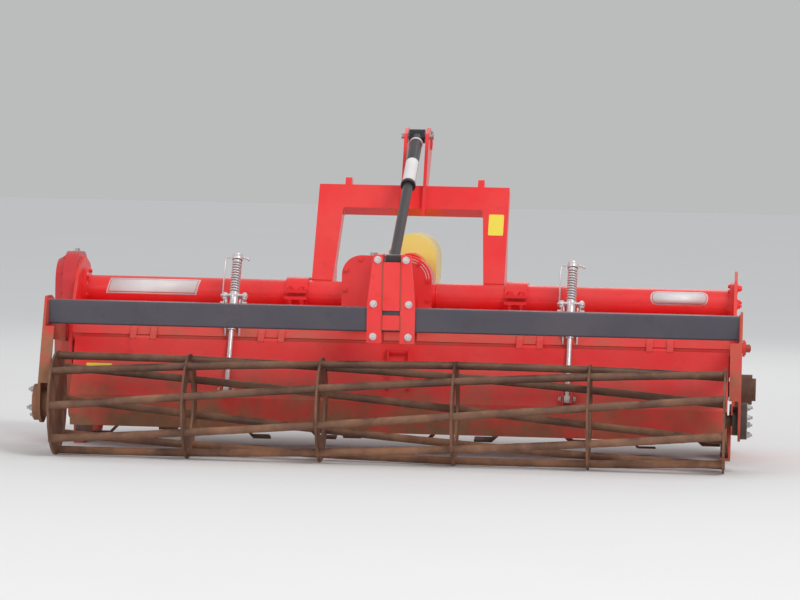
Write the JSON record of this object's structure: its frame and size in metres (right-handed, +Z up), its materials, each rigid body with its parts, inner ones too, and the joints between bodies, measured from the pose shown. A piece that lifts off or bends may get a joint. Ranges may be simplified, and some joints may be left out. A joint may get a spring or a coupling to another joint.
{
  "type": "rotary tiller",
  "caption": "Three-point-mounted rotary tiller: central gearbox, side drive case, bladed rotor under a hood with a trailing board, and a helical cage roller on a strut.",
  "frame": {"origin": "on the ground, under the middle of the machine's overall box", "axes": "+X to the right seen from behind, along the rotor; +Y the way it travels; +Z up"},
  "size_m": [2.736, 1.4498, 1.2493],
  "materials": {
    "red_paint": "gloss",
    "dark_paint": "satin",
    "zinc": "zinc plated",
    "bright_steel": "machined",
    "yellow_plastic": "matte",
    "soiled_steel": "covered with dry soil",
    "worn_steel": "worn bright by soil"
  },
  "bodies": {
    "frame": {"main_tube_left": "red_paint", "main_tube_right": "red_paint", "side_plate_left": "red_paint", "side_plate_right": "red_paint", "drive_case": "red_paint", "drive_case_cover": "red_paint", "rotor_bearing": "red_paint", "hood": "red_paint", "front_guard": "red_paint", "board_hinges": "red_paint", "rod_guides": "zinc", "gearbox_cover": "red_paint", "gearbox_case": "red_paint", "input_housing": "red_paint", "shaft_guard": "yellow_plastic", "hitch_frame": "red_paint", "mast_plates": "red_paint", "strut_pin": "zinc", "lower_hitch_left": "red_paint", "lower_hitch_right": "red_paint", "hitch_clamp_left": "red_paint", "hitch_clamp_right": "red_paint", "skid_left": "red_paint", "skid_right": "red_paint", "arm_pivots": "zinc"},
    "rotor": {"rotor": "dark_paint", "rotor_blades": "worn_steel"},
    "input_shaft": {"input_shaft": "bright_steel"},
    "board": {"trailing_board": "red_paint", "board_ears": "red_paint"},
    "bush_left": {"rod_bush_left": "zinc", "rod_spring_left": "zinc"},
    "bush_right": {"rod_bush_right": "zinc", "rod_spring_right": "zinc"},
    "rod_left": {"board_rod_left": "zinc"},
    "rod_right": {"board_rod_right": "zinc"},
    "roller_frame": {"roller_beam": "dark_paint", "roller_arm_left": "red_paint", "roller_arm_right": "red_paint", "roller_bearings": "dark_paint", "centre_brackets": "red_paint", "strut_foot_pin": "zinc"},
    "roller": {"roller_cage": "soiled_steel"},
    "strut_barrel": {"strut_barrel": "dark_paint"},
    "strut_bar": {"strut_bar": "dark_paint"}
  },
  "joints": [
    {"name": "rotor_spin", "type": "hinge", "parent": "frame", "child": "rotor", "pos_m": [0, 0.184, 0.262], "axis": [1, 0, 0], "continuous": true},
    {"name": "input_spin", "type": "hinge", "parent": "frame", "child": "input_shaft", "pos_m": [0, 0.384, 0.69], "axis": [0, 1, 0], "continuous": true},
    {"name": "board_swing", "type": "hinge", "parent": "frame", "child": "board", "pos_m": [0, -0.091, 0.415], "axis": [-1, 0, 0], "range_deg": [0, 12]},
    {"name": "roller_frame_pitch", "type": "hinge", "parent": "frame", "child": "roller_frame", "pos_m": [0, -0.044, 0.435], "axis": [1, 0, 0], "range_deg": [-12, 2]},
    {"name": "roller_spin", "type": "hinge", "parent": "roller_frame", "child": "roller", "pos_m": [0, -0.529, 0.195], "axis": [1, 0, 0], "continuous": true},
    {"name": "strut_swing", "type": "hinge", "parent": "frame", "child": "strut_barrel", "pos_m": [0, 0.502, 1.214], "axis": [1, 0, 0], "range_deg": [-1.94, 0.32]},
    {"name": "strut_slide", "type": "slide", "parent": "strut_barrel", "child": "strut_bar", "axis": [0, 0.8913, 0.4534], "range_m": [-0.01633, 0.09798]},
    {"name": "bush_left_swing", "type": "hinge", "parent": "frame", "child": "bush_left", "pos_m": [-0.65, -0.051, 0.55], "axis": [1, 0, 0], "range_deg": [-7.51, 0]},
    {"name": "rod_left_slide", "type": "slide", "parent": "bush_left", "child": "rod_left", "axis": [0, 0.464, 0.8858], "range_m": [0, 0.00737]},
    {"name": "bush_right_swing", "type": "hinge", "parent": "frame", "child": "bush_right", "pos_m": [0.65, -0.051, 0.55], "axis": [1, 0, 0], "range_deg": [-7.51, 0]},
    {"name": "rod_right_slide", "type": "slide", "parent": "bush_right", "child": "rod_right", "axis": [0, 0.464, 0.8858], "range_m": [0, 0.00737]}
  ],
  "couplings": [
    {"joint": "input_spin", "follows": "rotor_spin", "ratio": 2.5},
    {"joint": "strut_swing", "follows": "roller_frame_pitch", "ratio": 0.15809},
    {"joint": "strut_slide", "follows": "roller_frame_pitch", "m_per_rad": -0.45867},
    {"joint": "bush_left_swing", "follows": "board_swing", "ratio": -0.61372},
    {"joint": "rod_left_slide", "follows": "board_swing", "m_per_rad": 0.034494},
    {"joint": "bush_right_swing", "follows": "board_swing", "ratio": -0.61372},
    {"joint": "rod_right_slide", "follows": "board_swing", "m_per_rad": 0.034494}
  ]
}
